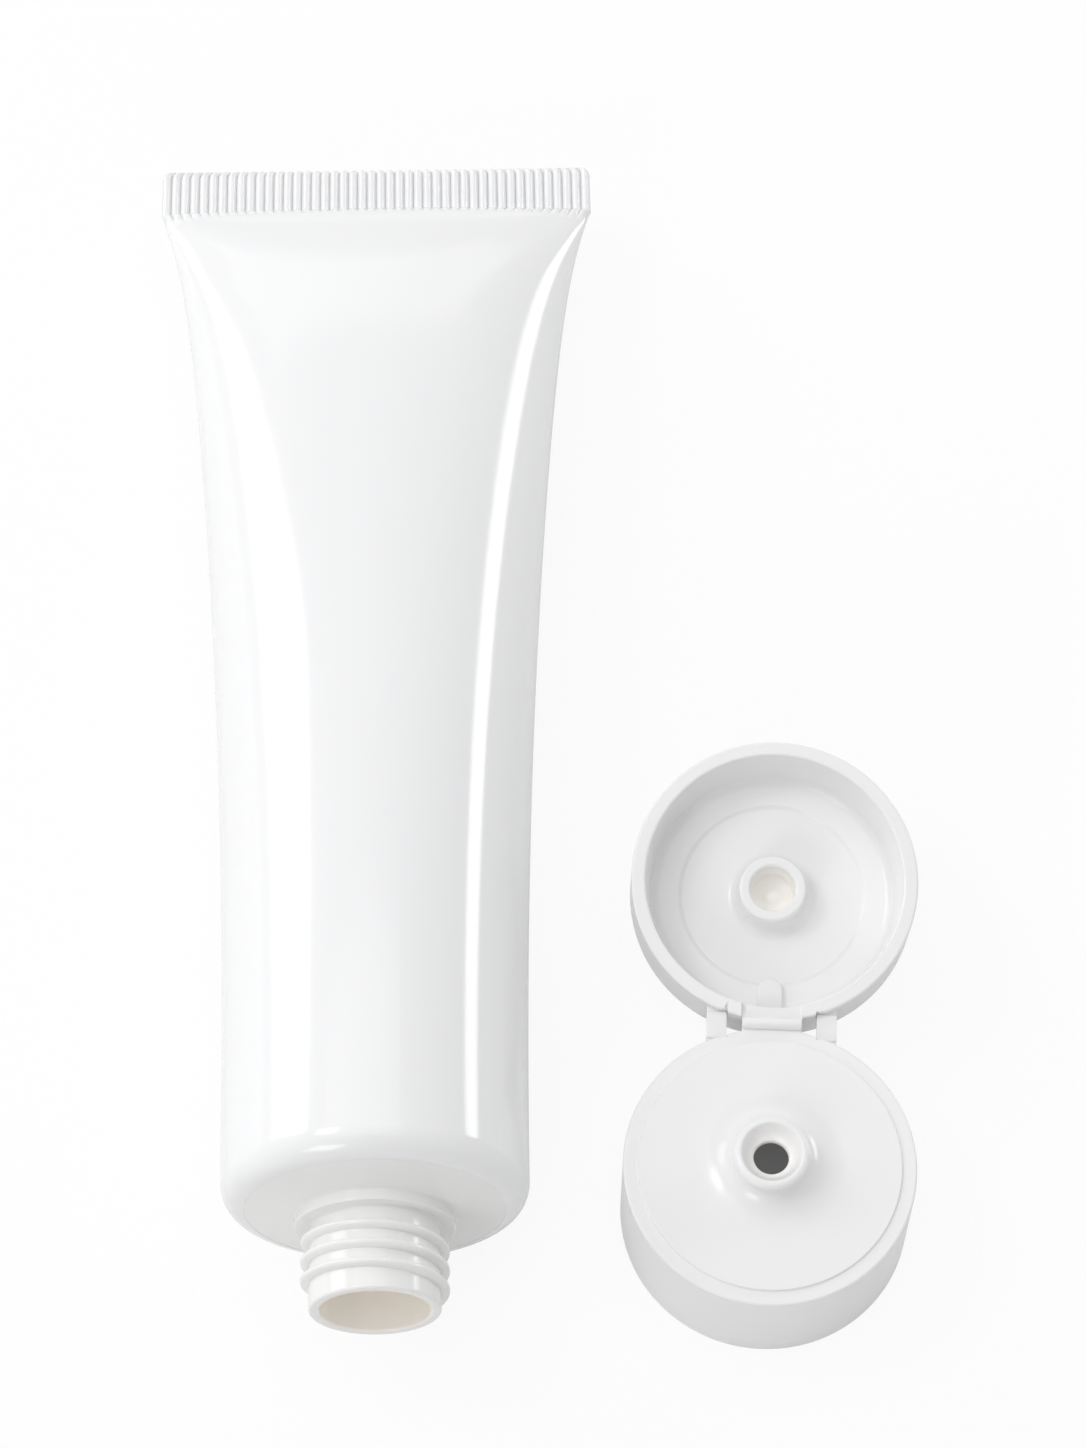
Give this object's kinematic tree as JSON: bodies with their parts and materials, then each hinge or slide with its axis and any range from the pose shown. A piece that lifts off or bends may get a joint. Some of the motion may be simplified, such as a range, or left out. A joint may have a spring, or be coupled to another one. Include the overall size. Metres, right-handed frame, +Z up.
{
  "type": "cosmetic tube",
  "caption": "White squeeze tube for cream, lying on its side, with its flip-top screw cap taken off and standing open beside it.",
  "frame": {"origin": "under the middle of the whole at rest, on the surface that the tube and its cap lie on", "axes": "+Z up, +Y along the tube towards its crimped end, +X towards the cap"},
  "size_m": [0.1042, 0.178, 0.0409],
  "materials": {
    "sleeve_film": "smooth white polyethylene sleeve with a soft sheen",
    "head_plastic": "moulded white polyethylene head, a little creamy where light comes through",
    "cap_plastic": "moulded white polypropylene, satin"
  },
  "bodies": {
    "tube": {"tube_sleeve": "sleeve_film", "tube_head": "head_plastic"},
    "cap": {"cap_base": "cap_plastic"},
    "lid": {"cap_lid": "cap_plastic"},
    "straps": {"hinge_strap_left": "cap_plastic", "hinge_strap_right": "cap_plastic"}
  },
  "joints": [
    {"name": "cap_lift", "type": "slide", "parent": "tube", "child": "cap", "axis": [0, 0, 1], "range_m": [0, 0.08]},
    {"name": "lid_hinge", "type": "hinge", "parent": "cap", "child": "lid", "pos_m": [0.03177, -0.04871, 0.0184], "axis": [0.9986, -0.0523, 0], "range_deg": [0, 170]},
    {"name": "strap_fold", "type": "hinge", "parent": "cap", "child": "straps", "pos_m": [0.0317, -0.05016, 0.01682], "axis": [0.9986, -0.0523, 0], "range_deg": [0, 85]}
  ],
  "couplings": [
    {"joint": "strap_fold", "follows": "lid_hinge", "ratio": 0.5}
  ]
}
